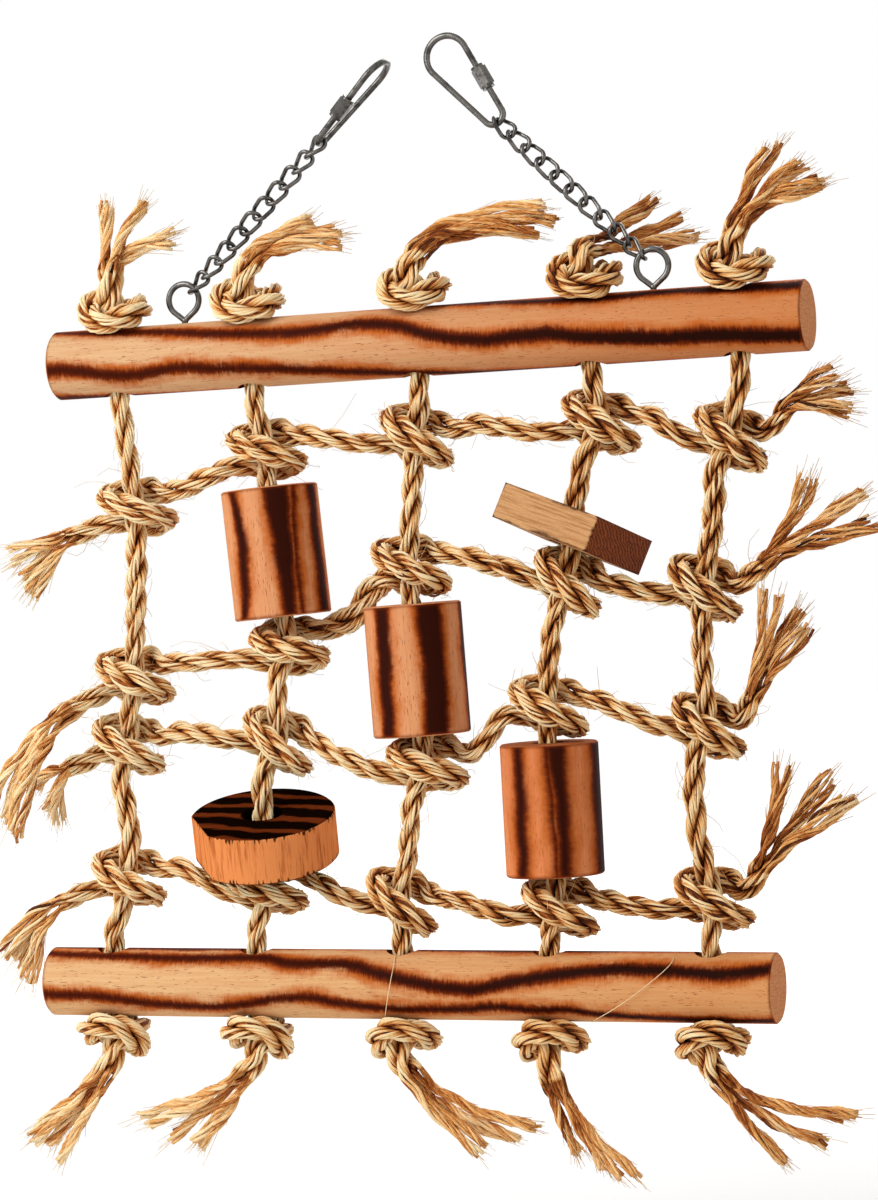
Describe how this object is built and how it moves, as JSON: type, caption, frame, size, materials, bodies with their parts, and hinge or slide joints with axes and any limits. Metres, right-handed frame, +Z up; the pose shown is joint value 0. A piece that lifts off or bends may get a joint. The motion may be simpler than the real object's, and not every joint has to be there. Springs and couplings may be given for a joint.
{
  "type": "bird climbing net",
  "caption": "Hanging climbing net for cage birds: knotted sisal rope strung between wooden perches, with threaded wooden blocks, hung on chains with screw-lock links.",
  "frame": {"origin": "the point on the cage bar or hook round which both screw links close, at the top of the object", "axes": "+X along the perches to the viewer's right, +Y away from the viewer through the net, +Z up"},
  "size_m": [0.3355, 0.0598, 0.4117],
  "materials": {
    "perch_wood": "bare pine with flame-burnt stripes",
    "block_wood": "bare pine, scorched",
    "disc_wood": "toasted wood",
    "sisal_rope": "three-strand laid sisal",
    "sisal_fibre": "frayed sisal strands",
    "nickel_steel": "bright nickel plating"
  },
  "bodies": {
    "hanger": {"left_link": "nickel_steel", "right_link": "nickel_steel"},
    "left_nut": {"left_nut": "nickel_steel"},
    "right_nut": {"right_nut": "nickel_steel"},
    "chains": {"left_chain": "nickel_steel", "right_chain": "nickel_steel"},
    "top_perch": {"left_screw_eye": "nickel_steel", "right_screw_eye": "nickel_steel", "top_knot_1": "sisal_rope", "top_knot_2": "sisal_rope", "top_knot_3": "sisal_rope", "top_knot_4": "sisal_rope", "top_knot_5": "sisal_rope", "top_perch": "perch_wood", "top_tail_1": "sisal_fibre", "top_tail_2": "sisal_fibre", "top_tail_3": "sisal_fibre", "top_tail_4": "sisal_fibre", "top_tail_5": "sisal_fibre"},
    "net": {"cross_rope_1": "sisal_rope", "cross_rope_2": "sisal_rope", "cross_rope_3": "sisal_rope", "cross_rope_4": "sisal_rope", "left_tail_1": "sisal_fibre", "left_tail_2": "sisal_fibre", "left_tail_3": "sisal_fibre", "left_tail_4": "sisal_fibre", "right_tail_1": "sisal_fibre", "right_tail_2": "sisal_fibre", "right_tail_3": "sisal_fibre", "right_tail_4": "sisal_fibre", "upright_rope_1": "sisal_rope", "upright_rope_2": "sisal_rope", "upright_rope_3": "sisal_rope", "upright_rope_4": "sisal_rope", "upright_rope_5": "sisal_rope"},
    "bottom_perch": {"bottom_knot_1": "sisal_rope", "bottom_knot_2": "sisal_rope", "bottom_knot_3": "sisal_rope", "bottom_knot_4": "sisal_rope", "bottom_knot_5": "sisal_rope", "bottom_perch": "perch_wood", "bottom_tail_1": "sisal_fibre", "bottom_tail_2": "sisal_fibre", "bottom_tail_3": "sisal_fibre", "bottom_tail_4": "sisal_fibre", "bottom_tail_5": "sisal_fibre"},
    "flat_disc": {"flat_disc": "disc_wood"},
    "left_round_block": {"left_round_block": "block_wood"},
    "middle_round_block": {"middle_round_block": "block_wood"},
    "right_round_block": {"right_round_block": "block_wood"},
    "square_slab": {"square_slab": "block_wood"}
  },
  "joints": [
    {"name": "left_nut_slide", "type": "slide", "parent": "hanger", "child": "left_nut", "axis": [0.6594, -0.1455, 0.7375], "range_m": [0, 0.007]},
    {"name": "right_nut_slide", "type": "slide", "parent": "hanger", "child": "right_nut", "axis": [-0.517, 0, 0.856], "range_m": [0, 0.007]},
    {"name": "hang_swing", "type": "hinge", "parent": "hanger", "child": "chains", "pos_m": [-0.03293, 0, -0.02874], "axis": [0.9989, 0, 0.0476], "range_deg": [-25, 25]},
    {"name": "perch_swing", "type": "hinge", "parent": "chains", "child": "top_perch", "pos_m": [-0.08352, 0, -0.08274], "axis": [0.9984, 0, 0.0573], "range_deg": [-25, 25]},
    {"name": "net_swing", "type": "hinge", "parent": "top_perch", "child": "net", "pos_m": [-0.11217, 0, -0.12632], "axis": [0.9984, 0, 0.0564], "range_deg": [-30, 30]},
    {"name": "lower_perch_swing", "type": "hinge", "parent": "net", "child": "bottom_perch", "pos_m": [-0.11578, 0, -0.31972], "axis": [0.9995, 0, 0.0305], "range_deg": [-35, 35]},
    {"name": "left_block_spin", "type": "hinge", "parent": "net", "child": "left_round_block", "pos_m": [-0.04908, 0, -0.20167], "axis": [-0.1189, 0, 0.9929], "continuous": true},
    {"name": "middle_block_spin", "type": "hinge", "parent": "net", "child": "middle_round_block", "pos_m": [0.0038, 0, -0.2433], "axis": [-0.0842, 0, 0.9964], "continuous": true},
    {"name": "right_block_spin", "type": "hinge", "parent": "net", "child": "right_round_block", "pos_m": [0.05355, 0, -0.29198], "axis": [-0.0562, 0, 0.9984], "continuous": true},
    {"name": "slab_slide", "type": "slide", "parent": "net", "child": "square_slab", "axis": [0.126, 0, 0.992], "range_m": [0, 0.01]},
    {"name": "disc_slide", "type": "slide", "parent": "net", "child": "flat_disc", "axis": [-0.0122, 0, 0.9999], "range_m": [0, 0.008]}
  ]
}
